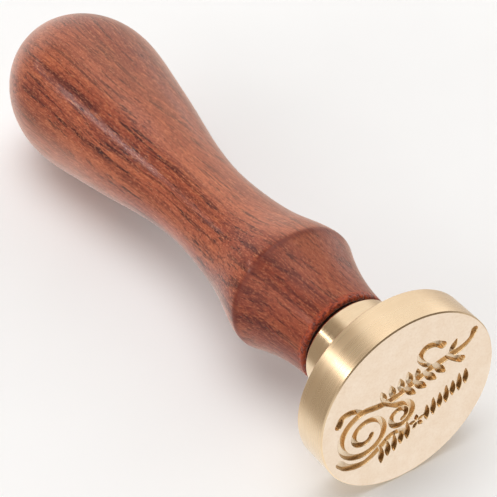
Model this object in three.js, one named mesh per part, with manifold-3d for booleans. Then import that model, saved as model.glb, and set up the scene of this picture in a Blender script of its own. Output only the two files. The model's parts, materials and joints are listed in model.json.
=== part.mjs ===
// Wax-seal hand stamp lying on its side: a turned hardwood handle, a steel
// hanger stud and a turned brass head with an engraved ornament on its face.
// Units are millimetres, +Z is up, and the floor is z = 0.
//
// Every piece is first drawn about one turning axis, along local +Y: the
// engraved face is at y = 0 and the round end of the handle at y = TOTAL.
// The whole stamp is then tipped by the small angle at which the rim of the
// head and the bulb of the handle touch the floor together.
import * as THREE from 'three';
import { mergeVertices } from 'three/addons/utils/BufferGeometryUtils.js';
import Module from 'manifold-3d';

const wasm = await Module();
wasm.setup();

// ---- driving dimensions ---------------------------------------------------
const SIDES = 48;             // flats round every turned surface
// brass head
const DISC_R = 12.5;          // 25 mm seal
const DISC_T = 4.9;
const DISC_BEVEL = 0.3;       // back edge
const FACE_BEVEL = 0.15;      // edge of the engraved face
const BOSS_R = 6.6;
const HEAD_LEN = 11.85;       // face to the back of the boss
const BOSS_BEVEL = 0.28;
const TAP_R = 3.85;           // clearance round the stud's thread
const TAP_FLOOR = 3.3;        // brass left under the tapped hole starts here
const TAP_SINK = 0.5;         // countersink at its mouth
// gap between the boss and the handle
const GAP = 0.8;
// handle
const TOTAL = 90.4;           // face to the round end
const WOOD_0 = HEAD_LEN + GAP;
const RIM_R = 6.45;
const RIM_ROUND = 0.36;
const RECESS_R = 5.75;        // shallow counterbore in the handle's end
const RECESS_D = 1.1;
const CREASE_Y = 23.9;
const CREASE_R = 9.15;
const TAPER_SAG = 0.59;       // hollow of the taper under the crease
const BULB_Y = 76.25;         // widest place of the bulb
const BULB_R = 11.3;
const STUD_BORE_R = 3.8;
const STUD_BORE_END = 33.0;
// stud, M7 x 1 outside and a coarse wood thread inside the handle
const PITCH = 1.0;
const STUD_TIP = 4.2;
const STUD_CORE_R = 2.95;
const STUD_MAJOR_R = 3.5;
const SHOULDER_0 = 12.6;      // plain shank between the two threads
const SHOULDER_1 = 15.2;
const STUD_END = 31.5;
const WOOD_PITCH = 2.6;
// engraving
const CUT_DEPTH = 0.7;

// ---- helpers --------------------------------------------------------------
function signedVolume(g) {
  const p = g.attributes.position, i = g.index.array;
  let v = 0;
  const a = new THREE.Vector3(), b = new THREE.Vector3(), c = new THREE.Vector3();
  for (let k = 0; k < i.length; k += 3) {
    a.fromBufferAttribute(p, i[k]); b.fromBufferAttribute(p, i[k + 1]); c.fromBufferAttribute(p, i[k + 2]);
    v += a.dot(b.cross(c)) / 6;
  }
  return v;
}

// one closed body: shared vertices merged, collapsed faces dropped, facing out
function closed(geometry) {
  let g = geometry.index ? geometry.toNonIndexed() : geometry;
  g.deleteAttribute('normal');
  g.deleteAttribute('uv');
  g = mergeVertices(g, 1e-4);
  const src = g.index.array, out = [];
  for (let k = 0; k < src.length; k += 3) {
    const [a, b, c] = [src[k], src[k + 1], src[k + 2]];
    if (a !== b && b !== c && a !== c) out.push(a, b, c);
  }
  g.setIndex(out);
  if (signedVolume(g) < 0) {
    for (let k = 0; k < out.length; k += 3) [out[k + 1], out[k + 2]] = [out[k + 2], out[k + 1]];
    g.setIndex(out);
  }
  return g;
}

// profile of [radius, y] pairs turned about local Y, a flat at the very bottom
function turned(profile, sides = SIDES) {
  const g = new THREE.LatheGeometry(profile.map(([r, y]) => new THREE.Vector2(r, y)), sides);
  g.rotateY(Math.PI / sides);
  return closed(g);
}

function solid(g) {
  return new wasm.Manifold(new wasm.Mesh({
    numProp: 3,
    vertProperties: new Float32Array(g.attributes.position.array),
    triVerts: new Uint32Array(g.index.array),
  }));
}

function geometryOf(manifold) {
  const m = manifold.getMesh();
  const g = new THREE.BufferGeometry();
  g.setAttribute('position', new THREE.BufferAttribute(new Float32Array(m.vertProperties), 3));
  g.setIndex(new THREE.BufferAttribute(new Uint32Array(m.triVerts), 1));
  return g;
}

// ---- handle ---------------------------------------------------------------
// Natural cubic spline with given end slopes, for the neck and bulb.
function spline(xs, ys, d0, d1) {
  const n = xs.length, a = [], b = [], c = [], r = [];
  for (let i = 0; i < n; i++) {
    if (i === 0) { a.push(0); b.push(1); c.push(0); r.push(d0); continue; }
    if (i === n - 1) { a.push(0); b.push(1); c.push(0); r.push(d1); continue; }
    const h0 = xs[i] - xs[i - 1], h1 = xs[i + 1] - xs[i];
    a.push(1 / h0); b.push(2 * (1 / h0 + 1 / h1)); c.push(1 / h1);
    r.push(3 * ((ys[i] - ys[i - 1]) / (h0 * h0) + (ys[i + 1] - ys[i]) / (h1 * h1)));
  }
  for (let i = 1; i < n; i++) {
    const w = a[i] / b[i - 1];
    b[i] -= w * c[i - 1]; r[i] -= w * r[i - 1];
  }
  const m = new Array(n);
  m[n - 1] = r[n - 1] / b[n - 1];
  for (let i = n - 2; i >= 0; i--) m[i] = (r[i] - c[i] * m[i + 1]) / b[i];
  return (x) => {
    let i = 0;
    while (i < n - 2 && x > xs[i + 1]) i++;
    const h = xs[i + 1] - xs[i], t = (x - xs[i]) / h;
    return (2 * t ** 3 - 3 * t ** 2 + 1) * ys[i] + (t ** 3 - 2 * t ** 2 + t) * h * m[i]
      + (-2 * t ** 3 + 3 * t ** 2) * ys[i + 1] + (t ** 3 - t ** 2) * h * m[i + 1];
  };
}

const NECK = [[0.12, 7.64], [0.26, 6.52], [0.40, 6.29], [0.55, 7.22], [0.70, 8.84], [0.85, 10.30]];
const span = BULB_Y - CREASE_Y;
const neck = spline(
  [CREASE_Y, ...NECK.map(([k]) => CREASE_Y + k * span), BULB_Y],
  [CREASE_R, ...NECK.map(([, r]) => r), BULB_R], -0.1, 0);

const wood = [];
for (let i = 0; i <= 3; i++) {                     // rounded rim at the brass end
  const a = (i / 3) * Math.PI / 2;
  wood.push([RIM_R - RIM_ROUND + RIM_ROUND * Math.sin(a), WOOD_0 + RIM_ROUND - RIM_ROUND * Math.cos(a)]);
}
for (let i = 1; i <= 5; i++) {                     // hollow taper up to the crease
  const t = i / 5, y0 = WOOD_0 + RIM_ROUND;
  wood.push([RIM_R + (CREASE_R - RIM_R) * t - TAPER_SAG * 4 * t * (1 - t), y0 + (CREASE_Y - y0) * t]);
}
for (let i = 1; i <= 20; i++) {                    // neck and bulb
  const y = CREASE_Y + (span * i) / 20;
  wood.push([neck(y), y]);
}
for (let i = 1; i <= 8; i++) {                     // round end
  const a = (i / 8) * Math.PI / 2;
  wood.push([i === 8 ? 0 : BULB_R * Math.cos(a), BULB_Y + (TOTAL - BULB_Y) * Math.sin(a)]);
}
wood.push([0, STUD_BORE_END + 2.0], [STUD_BORE_R - 0.6, STUD_BORE_END], [STUD_BORE_R, STUD_BORE_END - 0.6],
  [STUD_BORE_R, WOOD_0 + RECESS_D], [RECESS_R, WOOD_0 + RECESS_D], [RECESS_R, WOOD_0]);
wood.push([...wood[0]]);
const handleGeometry = turned(wood);

// ---- stud -----------------------------------------------------------------
// A rounded ridge wound round the core makes each thread.
class Helix extends THREE.Curve {
  constructor(radius, pitch, y0, y1) { super(); Object.assign(this, { radius, pitch, y0, y1 }); }
  getPoint(t, target = new THREE.Vector3()) {
    const y = this.y0 + (this.y1 - this.y0) * t, a = (2 * Math.PI * (y - this.y0)) / this.pitch;
    return target.set(this.radius * Math.sin(a), y, this.radius * Math.cos(a));
  }
}

function ridge(radius, pitch, y0, y1, half, sides, perTurn) {
  const shape = new THREE.Shape();
  for (let i = 0; i < sides; i++) {
    const a = (2 * Math.PI * i) / sides;
    const x = half * Math.cos(a), y = half * Math.sin(a);
    if (i === 0) shape.moveTo(x, y); else shape.lineTo(x, y);
  }
  const turns = (y1 - y0) / pitch;
  return closed(new THREE.ExtrudeGeometry(shape, {
    steps: Math.round(turns * perTurn), curveSegments: 1, bevelEnabled: false,
    extrudePath: new Helix(radius, pitch, y0, y1),
  }));
}

const studCore = turned([
  [0, STUD_TIP], [2.3, STUD_TIP], [STUD_CORE_R, STUD_TIP + 0.65], [STUD_CORE_R, SHOULDER_0],
  [3.3, SHOULDER_0 + 0.2], [3.3, SHOULDER_1 - 0.4], [2.6, SHOULDER_1], [2.45, STUD_END - 3.2], [0, STUD_END],
], 16);
const machineThread = ridge(3.05, PITCH, STUD_TIP + 0.75, SHOULDER_0 - 0.15, 0.42, 6, 12);
const woodThread = ridge(2.65, WOOD_PITCH, SHOULDER_1 + 0.7, STUD_END - 3.6, 0.62, 6, 12);
const studGeometry = geometryOf(solid(studCore).add(solid(machineThread)).add(solid(woodThread)));

// ---- brass head -----------------------------------------------------------
const headBlank = turned([
  [0, 0], [DISC_R - FACE_BEVEL, 0], [DISC_R, FACE_BEVEL],
  [DISC_R, DISC_T - DISC_BEVEL], [DISC_R - DISC_BEVEL, DISC_T],
  [BOSS_R, DISC_T], [BOSS_R, HEAD_LEN - BOSS_BEVEL], [BOSS_R - BOSS_BEVEL * 0.6, HEAD_LEN],
  [TAP_R + TAP_SINK, HEAD_LEN], [TAP_R, HEAD_LEN - TAP_SINK],
  [TAP_R, TAP_FLOOR + 0.9], [0, TAP_FLOOR],
]);

// The engraving is a vine scroll with leaves over a leaf border. Each stroke
// is a chain of [x, z, half width] on the face, seen from the front with z up.
function scroll(cx, cz, a0, a1, r0, r1, w0, w1, n) {
  const out = [];
  for (let i = 0; i <= n; i++) {
    const t = i / n, a = (a0 + (a1 - a0) * t) * Math.PI / 180, r = r0 + (r1 - r0) * t;
    out.push([cx + r * Math.cos(a), cz + r * Math.sin(a), w0 + (w1 - w0) * t]);
  }
  return out;
}
function leaf(x, z, angle, length, half) {
  const a = angle * Math.PI / 180, c = Math.cos(a), s = Math.sin(a);
  return [[0, 0.12], [0.22, half * 0.8], [0.48, half], [0.78, half * 0.6], [1, 0.08]]
    .map(([t, w]) => [x + c * length * t, z + s * length * t, w]);
}
const strokes = [];
// large scroll at the lower left, running out into the stem
strokes.push([...scroll(-6.1, -2.3, 700, 95, 0.9, 3.95, 0.34, 0.46, 26),
  [-4.4, 1.45, 0.46], [-2.4, 1.55, 0.44], [0.0, 2.35, 0.42], [2.6, 3.55, 0.44], [5.2, 4.25, 0.5],
  [7.3, 4.75, 0.44], [8.7, 5.7, 0.36], [9.1, 6.75, 0.5]]);
// lower counter scroll
strokes.push([[-3.6, 1.3, 0.2], [-2.2, 0.55, 0.36], ...scroll(-1.15, -1.75, 100, -420, 2.0, 0.75, 0.44, 0.3, 18)]);
// low sweep crossing the large scroll
strokes.push([[-9.7, -5.2, 0.52], [-8.6, -6.3, 0.5], [-6.2, -6.85, 0.42], [-4.0, -5.6, 0.42], [-2.3, -4.3, 0.4], [-0.9, -4.35, 0.3], [-0.2, -5.0, 0.42]]);
// curl off the top left
strokes.push([[-6.6, 1.7, 0.2], [-8.3, 2.5, 0.4], [-9.6, 2.3, 0.46], [-10.1, 1.2, 0.5]]);
// tendrils at the upper right
strokes.push([[3.4, 3.8, 0.2], [1.9, 4.9, 0.34], [1.2, 6.2, 0.42], [1.9, 7.35, 0.44], [3.4, 7.3, 0.42], [4.5, 6.6, 0.5]]);
strokes.push([[5.4, 4.2, 0.2], [6.7, 3.4, 0.42], [7.6, 2.9, 0.5]]);
// leaves along the stem
for (const [x, z, a, l, w] of [
  [-3.5, 1.7, 112, 1.9, 0.44], [-2.3, 1.8, 106, 2.1, 0.5], [-1.1, 2.1, 102, 2.2, 0.52], [0.1, 2.6, 104, 2.2, 0.52],
  [1.1, 3.1, 96, 1.5, 0.42],
  [-0.5, 2.0, -42, 1.9, 0.46], [0.8, 2.4, -40, 2.2, 0.52], [2.2, 3.1, -42, 2.3, 0.52], [3.6, 3.7, -46, 2.3, 0.52],
  [5.7, 4.7, 66, 2.0, 0.46],
]) strokes.push(leaf(x, z, a, l, w));
// border of slanting leaves under the scroll
const ROW = { x: -3.6, z: -6.9, a: 28.7, step: 1.06, count: 14 };
for (let i = 0; i < ROW.count; i++) {
  if (i === 5 || i === 6) continue;
  const t = ROW.a * Math.PI / 180, d = i * ROW.step;
  const x = ROW.x + d * Math.cos(t), z = ROW.z + d * Math.sin(t);
  const s = ((ROW.a + 66) * Math.PI) / 180, l = i % 2 ? 2.35 : 2.75;
  strokes.push(leaf(x - (l / 2) * Math.cos(s), z - (l / 2) * Math.sin(s), ROW.a + 66, l, 0.43));
}
{ // flower in the middle of the border
  const t = ROW.a * Math.PI / 180, d = 5.5 * ROW.step;
  const x = ROW.x + d * Math.cos(t), z = ROW.z + d * Math.sin(t);
  for (let k = 0; k < 5; k++) {
    const a = 30 + 72 * k, c = Math.cos((a * Math.PI) / 180), s = Math.sin((a * Math.PI) / 180);
    strokes.push(leaf(x + 0.28 * c, z + 0.28 * s, a, 0.85, 0.3));
  }
}

// outline of one run of a stroke, with half-round ends
function outline(run) {
  const left = [], right = [];
  const dir = run.map((p, i) => {
    const q0 = run[Math.max(i - 1, 0)], q1 = run[Math.min(i + 1, run.length - 1)];
    return Math.atan2(q1[1] - q0[1], q1[0] - q0[0]);
  });
  run.forEach(([x, z, w], i) => {
    left.push([x - w * Math.sin(dir[i]), z + w * Math.cos(dir[i])]);
    right.push([x + w * Math.sin(dir[i]), z - w * Math.cos(dir[i])]);
  });
  const cap = ([x, z, w], a0) => [1, 2, 3].map((k) => a0 - (k * Math.PI) / 4)
    .map((a) => [x + w * Math.cos(a), z + w * Math.sin(a)]);
  const n = run.length - 1;
  return [...left, ...cap(run[n], dir[n] + Math.PI / 2), ...right.reverse(), ...cap(run[0], dir[0] - Math.PI / 2)];
}

function cutter(stroke) {
  const curve = new THREE.CatmullRomCurve3(stroke.map(([x, z, w]) => new THREE.Vector3(x, z, w)), false, 'centripetal');
  const length = curve.getLength();
  const n = Math.max(4, Math.round(length / 0.62));
  const pts = curve.getSpacedPoints(n).map((p) => [p.x, p.y, p.z]);
  const runs = [];
  let start = 0, turn = 0;
  for (let i = 1; i < pts.length; i++) {
    if (i < pts.length - 1) {
      const a = Math.atan2(pts[i][1] - pts[i - 1][1], pts[i][0] - pts[i - 1][0]);
      const b = Math.atan2(pts[i + 1][1] - pts[i][1], pts[i + 1][0] - pts[i][0]);
      turn += Math.abs(Math.atan2(Math.sin(b - a), Math.cos(b - a)));
    }
    if (turn > 2.2 || i === pts.length - 1) { runs.push(pts.slice(start, i + 1)); start = i; turn = 0; }
  }
  return runs.map((run) => {
    const shape = new THREE.Shape(outline(run).map(([x, z]) => new THREE.Vector2(x, z)));
    const g = new THREE.ExtrudeGeometry(shape, { depth: CUT_DEPTH + 1, steps: 1, bevelEnabled: false });
    // shape plane (x, y) becomes (x, z), and the cut runs from y = CUT_DEPTH out past the face
    g.rotateX(Math.PI / 2);
    g.translate(0, CUT_DEPTH, 0);
    return solid(closed(g));
  });
}
let engraving = null;
for (const stroke of strokes) for (const run of cutter(stroke)) engraving = engraving ? engraving.add(run) : run;
const headGeometry = geometryOf(solid(headBlank).subtract(engraving));

// ---- assembly -------------------------------------------------------------
function piece(name, geometry, color, roughness, metalness) {
  const g = geometry.clone();
  g.computeVertexNormals();
  const mesh = new THREE.Mesh(g, new THREE.MeshStandardMaterial({ color, roughness, metalness, flatShading: true }));
  mesh.name = name;
  return mesh;
}
const stamp = new THREE.Group();
stamp.add(
  piece('handle', handleGeometry, 0x9a5a45, 0.42, 0.0),
  piece('stud', studGeometry, 0x9b9da0, 0.35, 1.0),
  piece('brass_head', headGeometry, 0xd9b889, 0.32, 1.0),
);

// Tip the stamp until the back edge of the disc and the bulb both lie on the
// floor, then put the origin on the floor under the middle of its box.
const flat = Math.cos(Math.PI / SIDES);
let slope = Infinity;
for (const [r, y] of wood) {
  if (y > BULB_Y - 12) slope = Math.min(slope, ((DISC_R - r) * flat) / (y - (DISC_T - DISC_BEVEL)));
}
stamp.rotation.x = -Math.atan(slope);
const group = new THREE.Group();
group.add(stamp);
group.updateMatrixWorld(true);
const box = new THREE.Box3().setFromObject(group, true);
stamp.position.set(-(box.min.x + box.max.x) / 2, -(box.min.y + box.max.y) / 2, -box.min.z);

export default group;
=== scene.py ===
import json
import math

import bmesh
import bpy
import numpy as np
from mathutils import Matrix, Vector
from mathutils.geometry import delaunay_2d_cdt


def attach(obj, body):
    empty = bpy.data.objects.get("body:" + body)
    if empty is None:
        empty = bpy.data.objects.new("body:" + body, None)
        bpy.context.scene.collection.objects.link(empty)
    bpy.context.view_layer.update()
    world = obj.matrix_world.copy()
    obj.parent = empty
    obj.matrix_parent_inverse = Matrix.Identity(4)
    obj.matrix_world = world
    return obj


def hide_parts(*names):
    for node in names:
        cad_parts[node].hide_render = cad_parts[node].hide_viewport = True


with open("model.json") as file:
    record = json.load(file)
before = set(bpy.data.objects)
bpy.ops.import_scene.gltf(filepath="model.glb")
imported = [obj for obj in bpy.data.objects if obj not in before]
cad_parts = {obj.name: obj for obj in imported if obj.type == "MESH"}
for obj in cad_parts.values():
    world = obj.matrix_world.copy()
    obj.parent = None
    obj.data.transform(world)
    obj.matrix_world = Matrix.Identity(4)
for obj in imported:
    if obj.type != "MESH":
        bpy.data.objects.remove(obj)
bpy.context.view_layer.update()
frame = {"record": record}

scene = bpy.context.scene

# ---------------------------------------------------------------------------
# The turning frame: local (x, y, z) in millimetres, y = 0 on the engraved face
# and y = 90.4 at the round end, placed by the head_turn joint's own axis.
# ---------------------------------------------------------------------------
turn = next(j for j in frame["record"]["behaviour"]["joints"] if j["name"] == "head_turn")
AXIS_POINT = Vector(turn["pos_m"])          # local (0, 12, 0)
LY = -Vector(turn["axis"]).normalized()     # from the face towards the handle
LX = Vector((1, 0, 0))
LZ = LX.cross(LY).normalized()
FACE = AXIS_POINT - LY * 0.012
TO_ROW = Matrix((
    (LX.x, LY.x, LZ.x, FACE.x * 1000),
    (LX.y, LY.y, LZ.y, FACE.y * 1000),
    (LX.z, LY.z, LZ.z, FACE.z * 1000),
    (0, 0, 0, 1),
))


def to_row(p):
    """local millimetres -> row frame metres"""
    return (TO_ROW @ Vector(p)) * 0.001


# driving sizes, the same as the CAD's
DISC_R, DISC_T, DISC_BEVEL, FACE_BEVEL = 12.5, 4.9, 0.3, 0.15
BOSS_R, HEAD_LEN, BOSS_BEVEL = 6.6, 11.85, 0.28
GAP, TOTAL = 0.8, 90.4
WOOD_0 = HEAD_LEN + GAP
RIM_R, RIM_ROUND, RECESS_R, RECESS_D = 6.45, 0.36, 5.75, 1.1
CREASE_Y, CREASE_R, TAPER_SAG = 23.9, 9.15, 0.59
BULB_Y, BULB_R = 76.25, 11.3
STUD_TIP, STUD_END, PITCH = 4.2, 31.5, 1.0
CUT_DEPTH = 0.7


# ---------------------------------------------------------------------------
# mesh helpers
# ---------------------------------------------------------------------------
def new_object(name, verts, faces, body, replaces=None, sharp=math.radians(28)):
    me = bpy.data.meshes.new(name)
    me.from_pydata([tuple(to_row(v)) for v in verts], [], faces)
    bm = bmesh.new()
    bm.from_mesh(me)
    bmesh.ops.remove_doubles(bm, verts=bm.verts, dist=2e-7)
    bmesh.ops.dissolve_degenerate(bm, edges=bm.edges, dist=1e-8)
    bmesh.ops.recalc_face_normals(bm, faces=bm.faces)
    for f in bm.faces:
        f.smooth = True
    for e in bm.edges:
        e.smooth = len(e.link_faces) == 2 and e.calc_face_angle(0.0) < sharp
    bm.to_mesh(me)
    bm.free()
    ob = bpy.data.objects.new(name, me)
    scene.collection.objects.link(ob)
    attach(ob, body)
    if replaces:
        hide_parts(*replaces)
    return ob


def lathe(profile, segs, radius_fn=None):
    """closed body of revolution about local y; profile starts and ends on the axis or closes on itself"""
    verts, faces, rings = [], [], []
    for r, y in profile:
        if r < 1e-9:
            rings.append([len(verts)])
            verts.append((0.0, y, 0.0))
        else:
            rings.append(list(range(len(verts), len(verts) + segs)))
            for k in range(segs):
                a = 2 * math.pi * k / segs
                rr = radius_fn(r, y, a) if radius_fn else r
                verts.append((rr * math.sin(a), y, rr * math.cos(a)))
    for a, b in zip(rings[:-1], rings[1:]):
        for k in range(segs):
            k2 = (k + 1) % segs
            if len(a) == 1 and len(b) == 1:
                continue
            if len(a) == 1:
                faces.append((a[0], b[k], b[k2]))
            elif len(b) == 1:
                faces.append((a[k], b[0], a[k2]))
            else:
                faces.append((a[k], b[k], b[k2], a[k2]))
    return verts, faces


def rounded(points, radii, steps=5):
    """profile polyline with its corners rounded: radii[i] is the corner's fillet"""
    out = []
    for i, p in enumerate(points):
        r = radii[i]
        if r <= 0 or i in (0, len(points) - 1):
            out.append(p)
            continue
        p = np.array(p, float)
        a, b = np.array(points[i - 1], float) - p, np.array(points[i + 1], float) - p
        la, lb = np.linalg.norm(a), np.linalg.norm(b)
        a, b = a / la, b / lb
        half = math.acos(max(-1, min(1, float(a @ b)))) / 2
        t = min(r / math.tan(half), la * 0.49, lb * 0.49)
        rr = t * math.tan(half)
        c = p + (a + b) / np.linalg.norm(a + b) * (rr / math.sin(half))
        u, v = p + a * t - c, p + b * t - c
        w = math.acos(max(-1, min(1, float(u @ v) / rr / rr)))
        for k in range(steps + 1):
            q = c + (u * math.sin(w * (1 - k / steps)) + v * math.sin(w * k / steps)) / math.sin(w)
            out.append((float(q[0]), float(q[1])))
    return out


# ---------------------------------------------------------------------------
# handle
# ---------------------------------------------------------------------------
def hermite(xs, ys, d0, d1):
    n = len(xs)
    A, r = np.zeros((n, n)), np.zeros(n)
    A[0, 0] = A[-1, -1] = 1
    r[0], r[-1] = d0, d1
    for i in range(1, n - 1):
        h0, h1 = xs[i] - xs[i - 1], xs[i + 1] - xs[i]
        A[i, i - 1], A[i, i], A[i, i + 1] = 1 / h0, 2 * (1 / h0 + 1 / h1), 1 / h1
        r[i] = 3 * ((ys[i] - ys[i - 1]) / h0**2 + (ys[i + 1] - ys[i]) / h1**2)
    m = np.linalg.solve(A, r)

    def f(x):
        i = int(np.clip(np.searchsorted(xs, x) - 1, 0, n - 2))
        h = xs[i + 1] - xs[i]
        t = (x - xs[i]) / h
        return ((2 * t**3 - 3 * t**2 + 1) * ys[i] + (t**3 - 2 * t**2 + t) * h * m[i]
                + (-2 * t**3 + 3 * t**2) * ys[i + 1] + (t**3 - t**2) * h * m[i + 1])
    return f


span = BULB_Y - CREASE_Y
NECK = [(0.12, 7.64), (0.26, 6.52), (0.40, 6.29), (0.55, 7.22), (0.70, 8.84), (0.85, 10.30)]
neck = hermite(
    np.array([CREASE_Y] + [CREASE_Y + k * span for k, _ in NECK] + [BULB_Y]),
    np.array([CREASE_R] + [r for _, r in NECK] + [BULB_R]), -0.1, 0.0)
y0 = WOOD_0 + RIM_ROUND


def outer(y):
    if y <= CREASE_Y:
        t = (y - y0) / (CREASE_Y - y0)
        return RIM_R + (CREASE_R - RIM_R) * t - TAPER_SAG * 4 * t * (1 - t)
    return neck(min(y, BULB_Y))


# the crease is eased over about a millimetre, as sanding leaves it
ys = np.concatenate([np.linspace(y0, 21.6, 15)[:-1], np.linspace(21.6, 26.6, 34)[:-1], np.linspace(26.6, BULB_Y, 84)])
fine = np.linspace(y0 - 3, BULB_Y, 6000)
fine_r = np.array([outer(max(y, y0)) for y in fine])
sig = 0.25 / (fine[1] - fine[0])
kern = np.exp(-0.5 * (np.arange(-150, 151) / sig) ** 2)
kern /= kern.sum()
soft_r = np.convolve(np.pad(fine_r, 150, mode="edge"), kern, mode="valid")
near = np.exp(-(((fine - CREASE_Y) / 2.2) ** 4))
eased = fine_r * (1 - near) + soft_r * near

wood_profile = []
for i in range(9):
    a = i / 8 * math.pi / 2
    wood_profile.append((RIM_R - RIM_ROUND + RIM_ROUND * math.sin(a), WOOD_0 + RIM_ROUND * (1 - math.cos(a))))
for y in ys[1:]:
    wood_profile.append((float(np.interp(y, fine, eased)), float(y)))
for i in range(1, 33):
    a = i / 32 * math.pi / 2
    wood_profile.append((0.0 if i == 32 else BULB_R * math.cos(a), BULB_Y + (TOTAL - BULB_Y) * math.sin(a)))
BORE = 3.62
inner = [(0.0, 35.0), (3.2, 33.0), (BORE, 32.5), (BORE, 24.0), (BORE, 15.0), (BORE, WOOD_0 + RECESS_D + 0.1), (BORE + 0.1, WOOD_0 + RECESS_D),
         (RECESS_R - 0.15, WOOD_0 + RECESS_D), (RECESS_R, WOOD_0 + RECESS_D - 0.15), (RECESS_R, WOOD_0 + 0.1), (RECESS_R + 0.08, WOOD_0),
         (RIM_R - RIM_ROUND, WOOD_0)]
v, f = lathe(wood_profile + inner, 192)
handle = new_object("handle_turned", v, f, "handle_body", ["handle"], sharp=math.radians(40))


# ---------------------------------------------------------------------------
# stud: M7 x 1 thread cut as a true helix, plain shoulder, coarse wood thread
# ---------------------------------------------------------------------------
def thread_profile(phase, depth, flat=0.14):
    """0 at the crest, depth at the root, for a phase from 0 to 1"""
    d = abs((phase % 1.0) - 0.5) * 2          # 1 at the crest, 0 at the root
    t = min(max((d - flat) / (1 - 2 * flat), 0), 1)
    return depth * (1 - t)


def stud_radius(r, y, a):
    turn_ = a / (2 * math.pi)
    if y < 12.55:                              # machine thread
        lead = min(max((y - STUD_TIP) / 0.7, 0), 1)
        crest = 2.55 + 0.95 * lead
        root = 3.5 - thread_profile(y / PITCH - turn_, 0.56)
        end = min(max((12.55 - y) / 0.5, 0), 1)
        return min(crest, root * end + 3.5 * (1 - end) if y > 12.05 else root)
    if y < 15.2:
        return 3.5 - 0.25 * min(max((y - 14.6) / 0.6, 0), 1)
    taper = min(max((STUD_END - y) / 3.2, 0), 1)
    start = min(max((y - 15.2) / 1.2, 0), 1)
    return (3.25 - thread_profile(y / 2.6 - turn_, 0.75, 0.06) * start) * (0.15 + 0.85 * math.sqrt(taper))


rows = [(0.0, STUD_TIP), (1.4, STUD_TIP)]
rows += [(1.0, y) for y in np.arange(STUD_TIP, 12.55, PITCH / 14)]
rows += [(1.0, y) for y in (12.6, 13.4, 14.2, 14.6, 15.0)]
rows += [(1.0, y) for y in np.arange(15.2, STUD_END - 0.05, 2.6 / 14)]
rows += [(0.0, STUD_END)]
v, f = lathe(rows, 72, lambda r, y, a: 1.4 if r == 1.4 else stud_radius(r, y, a))
stud = new_object("stud_threaded", v, f, "stud_body", ["stud"], sharp=math.radians(50))


# ---------------------------------------------------------------------------
# engraving, the same strokes as the CAD: chains of [x, z, half width] in mm
# ---------------------------------------------------------------------------
def scroll(cx, cz, a0, a1, r0, r1, w0, w1, n):
    out = []
    for i in range(n + 1):
        t = i / n
        a, r = math.radians(a0 + (a1 - a0) * t), r0 + (r1 - r0) * t
        out.append((cx + r * math.cos(a), cz + r * math.sin(a), w0 + (w1 - w0) * t))
    return out


def leaf(x, z, angle, length, half):
    c, s = math.cos(math.radians(angle)), math.sin(math.radians(angle))
    return [(x + c * length * t, z + s * length * t, w)
            for t, w in ((0, 0.12), (0.22, half * 0.8), (0.48, half), (0.78, half * 0.6), (1, 0.08))]


strokes = [
    scroll(-6.1, -2.3, 700, 95, 0.9, 3.95, 0.34, 0.46, 26)
    + [(-4.4, 1.45, 0.46), (-2.4, 1.55, 0.44), (0.0, 2.35, 0.42), (2.6, 3.55, 0.44), (5.2, 4.25, 0.5),
       (7.3, 4.75, 0.44), (8.7, 5.7, 0.36), (9.1, 6.75, 0.5)],
    [(-3.6, 1.3, 0.2), (-2.2, 0.55, 0.36)] + scroll(-1.15, -1.75, 100, -420, 2.0, 0.75, 0.44, 0.3, 18),
    [(-9.7, -5.2, 0.52), (-8.6, -6.3, 0.5), (-6.2, -6.85, 0.42), (-4.0, -5.6, 0.42), (-2.3, -4.3, 0.4), (-0.9, -4.35, 0.3), (-0.2, -5.0, 0.42)],
    [(-6.6, 1.7, 0.2), (-8.3, 2.5, 0.4), (-9.6, 2.3, 0.46), (-10.1, 1.2, 0.5)],
    [(3.4, 3.8, 0.2), (1.9, 4.9, 0.34), (1.2, 6.2, 0.42), (1.9, 7.35, 0.44), (3.4, 7.3, 0.42), (4.5, 6.6, 0.5)],
    [(5.4, 4.2, 0.2), (6.7, 3.4, 0.42), (7.6, 2.9, 0.5)],
]
for x, z, a, l, w in ((-3.5, 1.7, 112, 1.9, 0.44), (-2.3, 1.8, 106, 2.1, 0.5), (-1.1, 2.1, 102, 2.2, 0.52), (0.1, 2.6, 104, 2.2, 0.52),
                      (1.1, 3.1, 96, 1.5, 0.42),
                      (-0.5, 2.0, -42, 1.9, 0.46), (0.8, 2.4, -40, 2.2, 0.52), (2.2, 3.1, -42, 2.3, 0.52), (3.6, 3.7, -46, 2.3, 0.52),
                      (5.7, 4.7, 66, 2.0, 0.46)):
    strokes.append(leaf(x, z, a, l, w))
ROW = dict(x=-3.6, z=-6.9, a=28.7, step=1.06, count=14)
t = math.radians(ROW["a"])
s = math.radians(ROW["a"] + 66)
for i in range(ROW["count"]):
    if i in (5, 6):
        continue
    x, z = ROW["x"] + i * ROW["step"] * math.cos(t), ROW["z"] + i * ROW["step"] * math.sin(t)
    l = 2.35 if i % 2 else 2.75
    strokes.append(leaf(x - l / 2 * math.cos(s), z - l / 2 * math.sin(s), ROW["a"] + 66, l, 0.43))
x, z = ROW["x"] + 5.5 * ROW["step"] * math.cos(t), ROW["z"] + 5.5 * ROW["step"] * math.sin(t)
for k in range(5):
    a = math.radians(30 + 72 * k)
    strokes.append(leaf(x + 0.28 * math.cos(a), z + 0.28 * math.sin(a), 30 + 72 * k, 0.85, 0.30))


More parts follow.
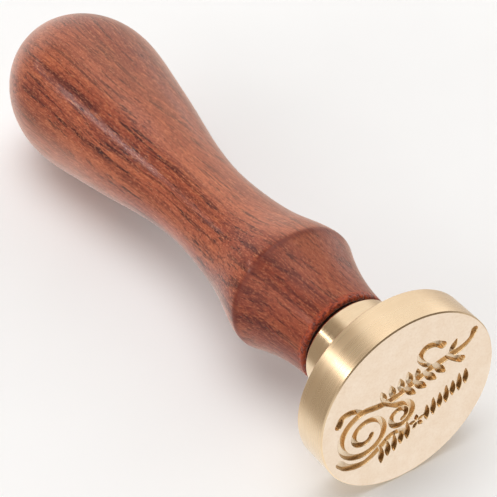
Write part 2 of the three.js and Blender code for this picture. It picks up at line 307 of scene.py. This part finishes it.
def centripetal(points, step=0.12):
    """Catmull-Rom chain with centripetal knots, sampled about every `step` mm"""
    p = np.array(points, float)
    p = np.vstack([2 * p[0] - p[1], p, 2 * p[-1] - p[-2]])
    out = []
    for i in range(1, len(p) - 2):
        q = p[i - 1:i + 3]
        d = [max(np.linalg.norm(q[k + 1] - q[k]), 1e-6) ** 0.5 for k in range(3)]
        t0, t1 = 0.0, d[0]
        t2, t3 = t1 + d[1], t1 + d[1] + d[2]
        n = max(2, int(np.linalg.norm(q[2] - q[1]) / step) + 1)
        for t in np.linspace(t1, t2, n, endpoint=False):
            a1 = (t1 - t) / (t1 - t0) * q[0] + (t - t0) / (t1 - t0) * q[1]
            a2 = (t2 - t) / (t2 - t1) * q[1] + (t - t1) / (t2 - t1) * q[2]
            a3 = (t3 - t) / (t3 - t2) * q[2] + (t - t2) / (t3 - t2) * q[3]
            b1 = (t2 - t) / (t2 - t0) * a1 + (t - t0) / (t2 - t0) * a2
            b2 = (t3 - t) / (t3 - t1) * a2 + (t - t1) / (t3 - t1) * a3
            out.append((t2 - t) / (t2 - t1) * b1 + (t - t1) / (t2 - t1) * b2)
    out.append(p[-2])
    return np.array(out)


# signed distance to the strokes' edge on a fine grid (negative inside a cut)
H = 0.05
N = int(25.0 / H) + 1
grid = (np.arange(N) - N // 2) * H
field = np.full((N, N), 9.0)
for s in strokes:
    q = centripetal(s)
    for a, b in zip(q[:-1], q[1:]):
        pad = max(a[2], b[2]) + 0.6
        i0, i1 = np.searchsorted(grid, [min(a[0], b[0]) - pad, max(a[0], b[0]) + pad])
        j0, j1 = np.searchsorted(grid, [min(a[1], b[1]) - pad, max(a[1], b[1]) + pad])
        gx, gz = grid[i0:i1][None, :], grid[j0:j1][:, None]
        dx, dz = b[0] - a[0], b[1] - a[1]
        l2 = max(dx * dx + dz * dz, 1e-12)
        t = np.clip(((gx - a[0]) * dx + (gz - a[1]) * dz) / l2, 0, 1)
        dist = np.sqrt((gx - a[0] - t * dx) ** 2 + (gz - a[1] - t * dz) ** 2) - (a[2] + (b[2] - a[2]) * t)
        block = field[j0:j1, i0:i1]
        np.minimum(block, dist, out=block)


def at(x, z):
    fx, fz = (x - grid[0]) / H, (z - grid[0]) / H
    i, j = np.clip(fx.astype(int), 0, N - 2), np.clip(fz.astype(int), 0, N - 2)
    u, w = fx - i, fz - j
    return (field[j, i] * (1 - u) * (1 - w) + field[j, i + 1] * u * (1 - w)
            + field[j + 1, i] * (1 - u) * w + field[j + 1, i + 1] * u * w)


def contour(level):
    """closed loops of the field at a level, by marching squares"""
    g = field - level
    g = np.where(np.abs(g) < 1e-7, 1e-7, g)
    links = {}

    def key_pt(kind, j, i):
        if kind == 0:      # edge along x from (j,i) to (j,i+1)
            t = g[j, i] / (g[j, i] - g[j, i + 1])
            return (grid[i] + t * H, grid[j])
        t = g[j, i] / (g[j, i] - g[j + 1, i])
        return (grid[i], grid[j] + t * H)

    inside = g < 0
    code = (inside[:-1, :-1] * 1 + inside[:-1, 1:] * 2 + inside[1:, 1:] * 4 + inside[1:, :-1] * 8)
    js, is_ = np.nonzero((code > 0) & (code < 15))
    for j, i in zip(js.tolist(), is_.tolist()):
        c = int(code[j, i])
        B, R, T, L = (0, j, i), (1, j, i + 1), (0, j + 1, i), (1, j, i)
        segs = {1: [(L, B)], 2: [(B, R)], 3: [(L, R)], 4: [(R, T)], 5: [(L, T), (R, B)], 6: [(B, T)], 7: [(L, T)],
                8: [(T, L)], 9: [(T, B)], 10: [(B, L), (T, R)], 11: [(T, R)], 12: [(R, L)], 13: [(R, B)], 14: [(B, L)]}[c]
        for a, b in segs:
            links.setdefault(a, []).append(b)
            links.setdefault(b, []).append(a)
    loops, seen = [], set()
    for start in list(links):
        if start in seen:
            continue
        loop, prev, cur = [], None, start
        while cur is not None and cur not in seen:
            seen.add(cur)
            loop.append(key_pt(*cur))
            nxt = [k for k in links[cur] if k not in seen]
            prev, cur = cur, (nxt[0] if nxt else None)
        if len(loop) > 7:
            loops.append(np.array(loop))
    return loops


def resample(loop, step):
    p = loop.copy()
    for _ in range(2):
        p = 0.5 * p + 0.25 * (np.roll(p, 1, 0) + np.roll(p, -1, 0))
    q = np.vstack([p, p[:1]])
    d = np.concatenate([[0], np.cumsum(np.linalg.norm(np.diff(q, axis=0), axis=1))])
    n = max(6, int(round(d[-1] / step)))
    s = np.linspace(0, d[-1], n, endpoint=False)
    return np.stack([np.interp(s, d, q[:, 0]), np.interp(s, d, q[:, 1])], 1)


SEG = 384
FLAT_R = DISC_R - FACE_BEVEL - 0.02
# distance from the edge -> depth: eased lip, steep wall, small corner, floor
LEVELS = [(0.045, 0.0), (0.0, 0.03), (-0.04, 0.13), (-0.085, CUT_DEPTH - 0.12), (-0.14, CUT_DEPTH - 0.02), (-0.2, CUT_DEPTH)]
pts, edges, depth = [], [], []
for k in range(SEG):
    a = 2 * math.pi * k / SEG
    pts.append((FLAT_R * math.sin(a), FLAT_R * math.cos(a)))
    depth.append(0.0)
    edges.append((k, (k + 1) % SEG))
for level, z in LEVELS:
    for loop in contour(level):
        p = resample(loop, 0.11)
        base = len(pts)
        for k, q in enumerate(p):
            pts.append((float(q[0]), float(q[1])))
            depth.append(z)
            edges.append((base + k, base + (k + 1) % len(p)))
cdt = delaunay_2d_cdt([Vector(p) for p in pts], edges, [], 0, 1e-5, True)
cv, cf, orig = cdt[0], cdt[2], cdt[3]
face_depth = []
for k, q in enumerate(cv):
    if orig[k]:
        face_depth.append(max(depth[o] for o in orig[k]))
    else:
        dd = float(at(np.array([q.x]), np.array([q.y]))[0])
        face_depth.append(min(LEVELS, key=lambda lv: abs(lv[0] - dd))[1])

head_profile = rounded(
    [(FLAT_R, 0.0), (DISC_R - FACE_BEVEL, 0.0), (DISC_R, FACE_BEVEL), (DISC_R, DISC_T - 0.18), (DISC_R - 0.18, DISC_T),
     (BOSS_R + 0.35, DISC_T), (BOSS_R, DISC_T + 0.35), (BOSS_R, HEAD_LEN - BOSS_BEVEL), (BOSS_R - BOSS_BEVEL * 0.6, HEAD_LEN),
     (4.0, HEAD_LEN), (3.62, HEAD_LEN - 0.38)],
    [0, 0, 0, 0.06, 0.06, 0.15, 0.15, 0.10, 0.05, 0.05, 0], 4)
bore_rows = [(3.62, y) for y in np.arange(HEAD_LEN - 0.40, 3.9, -PITCH / 12)]


def head_radius(r, y, a):
    if r != 3.62:
        return r
    run = min(max((HEAD_LEN - 0.38 - y) / 0.5, 0), 1) * min(max((y - 3.9) / 0.5, 0), 1)
    return 3.62 - (thread_profile(y / PITCH - a / (2 * math.pi) + 0.0, 0.56) * run)


# rings: outside, then the tapped bore down to its drill point
v, f = lathe(head_profile + bore_rows[1:] + [(3.0, 3.7), (0.0, 2.6)], SEG, head_radius)
base = len(v)
v += [(float(q.x), face_depth[k], float(q.y)) for k, q in enumerate(cv)]
f += [tuple(base + i for i in face) for face in cf]
head = new_object("brass_head_engraved", v, f, "head_body", ["brass_head"], sharp=math.radians(24))


# ---------------------------------------------------------------------------
# materials
# ---------------------------------------------------------------------------
def srgb(r, g, b):
    def lin(c):
        c /= 255
        return c / 12.92 if c <= 0.04045 else ((c + 0.055) / 1.055) ** 2.4
    return (lin(r), lin(g), lin(b), 1)


class Nodes:
    """a small helper that makes and links shader nodes"""

    def __init__(self, name):
        self.mat = bpy.data.materials.new(name)
        self.mat.use_nodes = True
        self.t = self.mat.node_tree
        self.t.nodes.clear()
        self.out = self.t.nodes.new("ShaderNodeOutputMaterial")
        self.bsdf = self.t.nodes.new("ShaderNodeBsdfPrincipled")
        self.t.links.new(self.bsdf.outputs[0], self.out.inputs[0])
        tc = self.t.nodes.new("ShaderNodeTexCoord")
        mp = self.t.nodes.new("ShaderNodeMapping")
        rot = Matrix(((LX.x, LX.y, LX.z), (LY.x, LY.y, LY.z), (LZ.x, LZ.y, LZ.z)))
        off = -(rot @ FACE) * 1000
        mp.inputs["Scale"].default_value = (1000, 1000, 1000)
        mp.inputs["Rotation"].default_value = rot.to_euler("XYZ")
        mp.inputs["Location"].default_value = off
        self.link(tc.outputs["Object"], mp.inputs["Vector"])
        self.p = mp.outputs[0]
        s = self.new("ShaderNodeSeparateXYZ")
        self.link(self.p, s.inputs[0])
        self.x, self.y, self.z = s.outputs

    def new(self, kind, **props):
        n = self.t.nodes.new(kind)
        for k, val in props.items():
            setattr(n, k, val)
        return n

    def link(self, a, b):
        self.t.links.new(a, b)

    def put(self, socket, value):
        if hasattr(value, "links") or isinstance(value, bpy.types.NodeSocket):
            self.link(value, socket)
        else:
            socket.default_value = value

    def math(self, op, a, b=0.0, c=0.0, clamp=False):
        n = self.new("ShaderNodeMath", operation=op, use_clamp=clamp)
        for s, val in zip(n.inputs, (a, b, c)):
            self.put(s, val)
        return n.outputs[0]

    def vec(self, x, y, z):
        n = self.new("ShaderNodeCombineXYZ")
        for s, val in zip(n.inputs, (x, y, z)):
            self.put(s, val)
        return n.outputs[0]

    def noise(self, vector, scale=1.0, detail=2.0, rough=0.5, distortion=0.0, w=None):
        n = self.new("ShaderNodeTexNoise")
        self.link(vector, n.inputs["Vector"])
        n.inputs["Scale"].default_value = scale
        n.inputs["Detail"].default_value = detail
        n.inputs["Roughness"].default_value = rough
        n.inputs["Distortion"].default_value = distortion
        return n.outputs["Fac"]

    def smooth(self, value, lo, hi, out0=0.0, out1=1.0):
        n = self.new("ShaderNodeMapRange", interpolation_type="SMOOTHSTEP")
        self.put(n.inputs[0], value)
        for k, val in enumerate((lo, hi, out0, out1)):
            n.inputs[k + 1].default_value = val
        return n.outputs[0]

    def ramp(self, value, stops):
        n = self.new("ShaderNodeValToRGB")
        self.link(value, n.inputs[0])
        el = n.color_ramp.elements
        while len(el) > 1:
            el.remove(el[-1])
        for k, (pos, col) in enumerate(stops):
            e = el[0] if k == 0 else el.new(pos)
            e.position = pos
            e.color = col
        return n.outputs[0]

    def mix(self, fac, a, b, mode="MIX"):
        n = self.new("ShaderNodeMix", data_type="RGBA", blend_type=mode)
        self.put(n.inputs[0], fac)
        self.put(n.inputs[6], a)
        self.put(n.inputs[7], b)
        return n.outputs[2]

    def bump(self, height, distance_mm, strength=1.0, normal=None):
        n = self.new("ShaderNodeBump")
        n.inputs["Strength"].default_value = strength
        n.inputs["Distance"].default_value = distance_mm * 0.001
        self.link(height, n.inputs["Height"])
        if normal is not None:
            self.link(normal, n.inputs["Normal"])
        return n.outputs[0]

    def set(self, name, value):
        self.put(self.bsdf.inputs[name], value)


# --- lacquered reddish hardwood ---
m = Nodes("lacquered_rosewood")


def scaled(m, x, y, z, kx, ky, kz):
    return m.vec(m.math("MULTIPLY", x, kx), m.math("MULTIPLY", y, ky), m.math("MULTIPLY", z, kz))


# growth layers: sheets round a far pith, gently waving along the grain
warp = m.math("MULTIPLY", m.math("SUBTRACT", m.noise(scaled(m, m.x, m.y, m.z, 0.06, 0.022, 0.06), 1.0, 2.0, 0.5), 0.5), 6.0)
wobble = m.math("MULTIPLY", m.math("SUBTRACT", m.noise(scaled(m, m.x, m.y, m.z, 0.25, 0.07, 0.25), 1.0, 2.0, 0.5), 0.5), 0.8)
px = m.math("ADD", m.math("ADD", m.x, 21.0), m.math("MULTIPLY", m.y, 0.07))
pz = m.math("ADD", m.z, 9.0)
rho = m.math("SQRT", m.math("ADD", m.math("MULTIPLY", px, px), m.math("MULTIPLY", pz, pz)))
rho = m.math("ADD", m.math("ADD", rho, warp), wobble)
arc = m.math("MULTIPLY", m.math("ARCTAN2", pz, px), 22.0)
broad = m.noise(scaled(m, rho, m.y, arc, 0.16, 0.012, 0.10), 1.0, 2.0, 0.5)
band = m.noise(scaled(m, rho, m.y, arc, 0.62, 0.020, 0.20), 1.0, 3.0, 0.6)
streak = m.noise(scaled(m, rho, m.y, arc, 1.4, 0.032, 0.6), 1.0, 3.0, 0.6)
vein = m.noise(scaled(m, rho, m.y, arc, 2.1, 0.040, 0.8), 1.0, 4.0, 0.68)
fibre = m.noise(scaled(m, rho, m.y, arc, 4.2, 0.26, 3.4), 1.0, 3.0, 0.75)
speck = m.noise(scaled(m, m.x, m.y, m.z, 4.6, 1.6, 4.6), 1.0, 2.0, 0.8)
pore_n = m.new("ShaderNodeTexVoronoi", feature="F1")
m.link(scaled(m, rho, m.y, arc, 2.2, 0.26, 2.2), pore_n.inputs["Vector"])
pore_n.inputs["Scale"].default_value = 1.0
pore_n.inputs["Randomness"].default_value = 1.0
pore = m.smooth(pore_n.outputs["Distance"], 0.11, 0.24, 1.0, 0.0)
pore = m.math("MULTIPLY", pore, m.smooth(streak, 0.40, 0.60, 0.25, 1.0))
col = m.ramp(broad, [(0.34, srgb(116, 46, 30)), (0.46, srgb(134, 57, 37)), (0.56, srgb(147, 68, 45)), (0.68, srgb(164, 84, 57))])
col = m.mix(m.smooth(band, 0.48, 0.60, 0.0, 0.50), col, srgb(96, 35, 25))
col = m.mix(m.smooth(band, 0.45, 0.34, 0.0, 0.50), col, srgb(180, 99, 66))
col = m.mix(m.smooth(streak, 0.55, 0.62, 0.0, 0.72), col, srgb(74, 23, 17))
col = m.mix(m.smooth(vein, 0.57, 0.62, 0.0, 0.88), col, srgb(50, 14, 13))
col = m.mix(m.smooth(vein, 0.44, 0.32, 0.0, 0.42), col, srgb(192, 106, 68))
col = m.mix(m.smooth(fibre, 0.53, 0.66, 0.0, 0.60), col, srgb(66, 21, 17))
col = m.mix(m.smooth(fibre, 0.46, 0.32, 0.0, 0.56), col, srgb(204, 120, 76))
col = m.mix(m.smooth(speck, 0.54, 0.70, 0.0, 0.50), col, srgb(60, 21, 19))
col = m.mix(m.smooth(speck, 0.46, 0.32, 0.0, 0.42), col, srgb(214, 140, 102))
col = m.mix(m.math("MULTIPLY", pore, 0.85), col, srgb(38, 12, 13))
# painted highlight: the wood is paler along one flank and on the bulb's other flank, standing in for the side light
# that catches the edges; it is also paler over the round end
rad = m.math("SQRT", m.math("ADD", m.math("MULTIPLY", m.x, m.x), m.math("MULTIPLY", m.z, m.z)))
flank = m.math("DIVIDE", m.math("ADD", m.math("MULTIPLY", m.x, 0.83), m.math("MULTIPLY", m.z, 0.56)), m.math("MAXIMUM", rad, 1.0))
drift = m.math("MULTIPLY", m.math("SUBTRACT", broad, 0.5), 1.6)
flank_light_and_pale_end = m.math("MULTIPLY", m.smooth(m.math("ADD", flank, drift), 0.05, 1.0, 0.0, 0.24), m.smooth(m.y, CREASE_Y - 8, CREASE_Y + 4, 0.45, 1.0))
flank_light_and_pale_end = m.math("MAXIMUM", flank_light_and_pale_end, m.math("MULTIPLY", m.smooth(flank, -0.55, -0.98, 0.0, 0.36), m.smooth(m.y, 48.0, 66.0)))
flank_light_and_pale_end = m.math("MAXIMUM", flank_light_and_pale_end, m.smooth(m.math("ADD", m.y, m.math("MULTIPLY", drift, 9.0)), 76.0, 89.0, 0.0, 0.40))
col = m.mix(flank_light_and_pale_end, col, srgb(220, 150, 118))
# the crease and the rim: end fibres drink the stain, so both edges are darker and redder
crease = m.math("ABSOLUTE", m.math("SUBTRACT", m.y, CREASE_Y - 0.15))
line = m.smooth(m.math("ADD", crease, m.math("MULTIPLY", m.math("SUBTRACT", fibre, 0.5), 0.8)), 0.0, 0.75, 0.62, 0.0)
col = m.mix(line, col, srgb(104, 38, 26))
# painted shade: the taper below the crease is darkened, standing in for the dimmer light on the side that faces the
# head
painted_taper_shade = m.smooth(m.y, CREASE_Y - 0.2, CREASE_Y + 0.5, 0.30, 0.0)
col = m.mix(painted_taper_shade, col, srgb(112, 48, 34))
chip = m.noise(m.p, 1.9, 3.0, 0.7)
rim = m.smooth(m.math("ADD", m.y, m.math("MULTIPLY", m.math("SUBTRACT", chip, 0.5), 1.6)), WOOD_0 + 0.55, WOOD_0 + 1.1, 0.85, 0.0)
col = m.mix(rim, col, m.ramp(chip, [(0.36, srgb(178, 84, 50)), (0.50, srgb(146, 56, 34)), (0.62, srgb(84, 26, 17))]))
# raw end grain in the counterbore, painted near-black as the shade in the gap under the brass head
inside = m.math("MULTIPLY", m.smooth(m.y, WOOD_0 - 0.1, WOOD_0 + 2.5, 1.0, 1.0), m.math("LESS_THAN", rad, RECESS_R + 0.12))
endgrain_and_gap_shade = m.math("MULTIPLY", inside, m.math("LESS_THAN", m.y, WOOD_0 + RECESS_D + 0.2))
col = m.mix(endgrain_and_gap_shade, col, srgb(50, 20, 15))
m.set("Base Color", col)
rough = m.math("ADD", m.smooth(fibre, 0.3, 0.7, 0.36, 0.54), m.math("MULTIPLY", pore, 0.25))
m.set("Roughness", rough)
m.set("IOR", 1.5)
m.set("Specular IOR Level", 0.15)
m.set("Coat Weight", m.smooth(m.y, CREASE_Y - 0.5, CREASE_Y + 1.0, 0.12, 0.36))
m.set("Coat Roughness", 0.08)
m.set("Sheen Weight", 0.66)
m.set("Sheen Roughness", 0.32)
m.set("Sheen Tint", (1.0, 0.74, 0.62, 1.0))
h = m.math("SUBTRACT", m.math("ADD", m.math("MULTIPLY", fibre, 0.55), m.math("MULTIPLY", vein, 0.35)), m.math("MULTIPLY", pore, 0.9))
chips = m.math("MULTIPLY", m.smooth(chip, 0.48, 0.64), m.smooth(m.y, WOOD_0 + 1.0, WOOD_0 + 0.3, 0.0, 1.0))
h = m.math("SUBTRACT", h, m.math("MULTIPLY", chips, 2.4))
h = m.math("ADD", h, m.math("MULTIPLY", speck, 0.5))
nrm = m.bump(h, 0.055, 0.75)
m.set("Normal", nrm)
m.set("Coat Normal", m.bump(h, 0.035, 0.6))
handle.data.materials.append(m.mat)

# --- bright zinc-plated steel ---
m = Nodes("plated_steel")
n1 = m.noise(m.p, 2.2, 3.0, 0.6)
n2 = m.noise(m.vec(m.math("MULTIPLY", m.x, 1.0), m.math("MULTIPLY", m.y, 14.0), m.z), 1.0, 2.0, 0.5)
m.set("Base Color", m.ramp(n1, [(0.3, srgb(176, 176, 178)), (0.7, srgb(206, 205, 204))]))
m.set("Metallic", 1.0)
m.set("Roughness", m.smooth(n1, 0.3, 0.7, 0.22, 0.36))
m.set("Normal", m.bump(n2, 0.006, 0.5))
stud.data.materials.append(m.mat)


# --- brass: turned sides, matte face, cut grooves ---
def brass(name, kind):
    m = Nodes(name)
    r = m.math("SQRT", m.math("ADD", m.math("MULTIPLY", m.x, m.x), m.math("MULTIPLY", m.z, m.z)))
    mott = m.noise(m.p, 0.45, 3.0, 0.55)
    fine_n = m.noise(m.p, 3.2, 3.0, 0.6)
    if kind == "side":
        # turning marks run round the part and so change along the axis, or along the radius on a shoulder
        rings = m.noise(m.vec(m.math("MULTIPLY", r, 2.6), m.math("MULTIPLY", m.y, 2.6), 0.0), 1.0, 2.5, 0.6)
        col = m.ramp(mott, [(0.3, srgb(243, 214, 176)), (0.7, srgb(248, 221, 184))])
        col = m.mix(m.smooth(rings, 0.38, 0.62, 0.0, 0.06), col, srgb(222, 188, 144))
        m.set("Roughness", m.math("ADD", m.smooth(rings, 0.3, 0.7, 0.165, 0.205), m.smooth(m.y, DISC_T - 0.1, DISC_T + 0.2, 0.10, 0.0)))
        m.set("Normal", m.bump(rings, 0.004, 0.05))
    elif kind == "face":
        col = m.ramp(mott, [(0.32, srgb(240, 219, 195)), (0.68, srgb(245, 227, 206))])
        col = m.mix(m.smooth(fine_n, 0.45, 0.7, 0.0, 0.18), col, srgb(226, 203, 176))
        m.set("Roughness", m.smooth(fine_n, 0.3, 0.7, 0.42, 0.54))
        m.set("Normal", m.bump(fine_n, 0.008, 0.4, m.bump(mott, 0.02, 0.3)))
    else:
        # cutter marks across the floor of the grooves
        cut = m.noise(m.p, 3.5, 3.0, 0.65)
        lines = m.noise(scaled(m, m.math("ADD", m.x, m.z), m.y, m.math("SUBTRACT", m.x, m.z), 0.6, 1.0, 7.0), 1.0, 2.0, 0.6)
        level_floor = m.smooth(m.y, CUT_DEPTH - 0.10, CUT_DEPTH - 0.03)
        # painted shade: the groove walls get a darker brass than the floors, standing in for the shade inside the cuts
        col = m.mix(level_floor, m.ramp(cut, [(0.3, srgb(214, 182, 140)), (0.7, srgb(236, 210, 172))]),
                    m.ramp(cut, [(0.3, srgb(236, 214, 184)), (0.7, srgb(250, 234, 210))]))
        m.set("Roughness", m.math("ADD", m.smooth(cut, 0.3, 0.7, 0.20, 0.28), m.math("MULTIPLY", level_floor, 0.20)))
        m.set("Normal", m.bump(lines, 0.006, 0.5))
    m.set("Base Color", col)
    m.set("Metallic", 1.0)
    return m.mat


for kind in ("side", "face", "cut"):
    head.data.materials.append(brass("brass_" + kind, kind))
inv = TO_ROW.inverted()
for p in head.data.polygons:
    c = inv @ (Vector(p.center) * 1000)
    rr = math.hypot(c.x, c.z)
    if rr < FLAT_R and c.y < CUT_DEPTH + 0.05:
        p.material_index = 1 if c.y < 0.005 else 2
    else:
        p.material_index = 0

# ---------------------------------------------------------------------------
# floor, light and camera
# ---------------------------------------------------------------------------
me = bpy.data.meshes.new("studio_floor")
S = 6.0
me.from_pydata([(-S, -S, -3e-5), (S, -S, -3e-5), (S, S, -3e-5), (-S, S, -3e-5)], [], [(0, 1, 2, 3)])
floor = bpy.data.objects.new("studio_floor", me)
scene.collection.objects.link(floor)
floor.visible_glossy = False      # the brass mirrors the room below the horizon instead
m = Nodes("floor_paper")
fn = m.noise(m.p, 0.02, 3.0, 0.5)
m.set("Base Color", m.ramp(fn, [(0.3, srgb(246, 246, 246)), (0.7, srgb(250, 250, 250))]))
m.set("Roughness", 0.9)
m.set("Specular IOR Level", 0.1)
floor.data.materials.append(m.mat)

BACK, FRONT = 0.94, 0.18
SOFT = [((-0.1, 0.02, 1.0), 14, 31, 2.3), ((-0.97, -0.15, 0.20), 15, 42, 1.5), ((0.97, 0.16, 0.20), 12, 30, 1.3),
        ((0.1, -0.78, -0.62), 36, 66, 0.97)]
DARK = [((-0.489, 0.65, 0.581), 7, 26, 0.66), ((0.72, 0.65, -0.22), 12, 32, 0.36),
        ((-0.75, 0.65, -0.02), 20, 42, 0.62)]
# studio: a white room lit from overhead and from behind, dim on the camera's
# side, with darker patches at the left and right; two strip lights run along the
# stamp at the left, one behind for the brass and one beside it for the bulb
world = bpy.data.worlds.new("studio_world")
scene.world = world
world.use_nodes = True
wt = world.node_tree
wn, wl = wt.nodes, wt.links
w_tc = wn.new("ShaderNodeTexCoord")


def lobe(direction, inner_deg, outer_deg):
    """1 within inner_deg of a direction, easing to 0 at outer_deg"""
    d = wn.new("ShaderNodeVectorMath")
    d.operation = "DOT_PRODUCT"
    wl.new(w_tc.outputs["Generated"], d.inputs[0])
    d.inputs[1].default_value = Vector(direction).normalized()
    mr = wn.new("ShaderNodeMapRange")
    mr.interpolation_type = "SMOOTHSTEP"
    wl.new(d.outputs["Value"], mr.inputs[0])
    mr.inputs[1].default_value = math.cos(math.radians(outer_deg))
    mr.inputs[2].default_value = math.cos(math.radians(inner_deg))
    return mr.outputs[0]


def wmath(op, a, b):
    n = wn.new("ShaderNodeMath")
    n.operation = op
    for sock, val in zip(n.inputs, (a, b)):
        if isinstance(val, (int, float)):
            sock.default_value = val
        else:
            wl.new(val, sock)
    return n.outputs[0]


sep = wn.new("ShaderNodeSeparateXYZ")
wl.new(w_tc.outputs["Generated"], sep.inputs[0])
ease = wn.new("ShaderNodeMapRange")
ease.interpolation_type = "SMOOTHSTEP"
wl.new(sep.outputs[1], ease.inputs[0])
for k, val in enumerate((-0.30, 0.30, FRONT, BACK)):
    ease.inputs[k + 1].default_value = val
level = ease.outputs[0]
for direction, inner, outer, amount in SOFT:
    level = wmath("ADD", level, wmath("MULTIPLY", lobe(direction, inner, outer), amount))
for direction, inner, outer, amount in DARK:
    level = wmath("MULTIPLY", level, wmath("SUBTRACT", 1.0, wmath("MULTIPLY", lobe(direction, inner, outer), amount)))
tone = wn.new("ShaderNodeMix")                  # the dim parts of the room are warmer
tone.data_type = "RGBA"
wl.new(wmath("MULTIPLY", level, 1.15), tone.inputs[0])
tone.inputs[6].default_value = (1.0, 0.80, 0.58, 1)
tone.inputs[7].default_value = (1, 1, 1, 1)
wl.new(tone.outputs[2], wn["Background"].inputs[0])
wl.new(level, wn["Background"].inputs[1])


def area(name, loc, target, along, width, length, power):
    """a flat rectangular light at loc that faces target, its length running along a direction"""
    li = bpy.data.lights.new(name, "AREA")
    li.shape = "RECTANGLE"
    li.size, li.size_y = width, length
    li.energy = power
    ob = bpy.data.objects.new(name, li)
    scene.collection.objects.link(ob)
    back = (Vector(loc) - Vector(target)).normalized()
    side = Vector(along).cross(back).normalized()
    run = back.cross(side)
    ob.matrix_world = Matrix(((side.x, run.x, back.x, loc[0]), (side.y, run.y, back.y, loc[1]),
                              (side.z, run.z, back.z, loc[2]), (0, 0, 0, 1)))
    return ob


area("strip_light", (-0.428, 0.36, 0.268), (0, 0, 0.012), (0, 1, 0), 0.038, 0.56, 0.24)
gloss = area("gloss_strip", (-0.385, 0.205, 0.250), (0, 0.02, 0.012), (0, 1, 0), 0.013, 0.13, 0.14)
gloss.visible_diffuse = False     # a reflection in the lacquer only, so it casts no shadow

# camera: the fitted position in the turning frame, in millimetres
CAM_P = Vector((18.747, 17.813, 198.885))     # face centre, seen from the camera: right, down, forward
CAM_D = Vector((-0.546, -0.527, 0.651)).normalized()
F_PX = 1701.7
e0 = math.atan2(-CAM_D.y, CAM_D.z)
up = Vector((0, -math.cos(e0), -math.sin(e0)))
right = CAM_D.cross(up)
loc_local = Vector((-CAM_P.dot(right), -CAM_P.dot(CAM_D), -CAM_P.dot(up)))
cam_x = Vector((right.x, CAM_D.x, up.x))      # image right, in local axes
cam_down = Vector((right.y, CAM_D.y, up.y))
cam_fwd = Vector((right.z, CAM_D.z, up.z))
R3 = TO_ROW.to_3x3()
X, Y, Z = R3 @ cam_x, -(R3 @ cam_down), -(R3 @ cam_fwd)
cam = bpy.data.cameras.new("photo_camera")
cam.sensor_width = 36.0
cam.lens = F_PX / 497 * 36.0
cam.clip_start, cam.clip_end = 0.01, 50
camera = bpy.data.objects.new("photo_camera", cam)
scene.collection.objects.link(camera)
o = to_row(loc_local)
camera.matrix_world = Matrix(((X.x, Y.x, Z.x, o.x), (X.y, Y.y, Z.y, o.y), (X.z, Y.z, Z.z, o.z), (0, 0, 0, 1)))
scene.camera = camera

scene.view_settings.view_transform = "Standard"
scene.view_settings.look = "None"
scene.view_settings.exposure = 0.0
scene.view_settings.gamma = 1.0
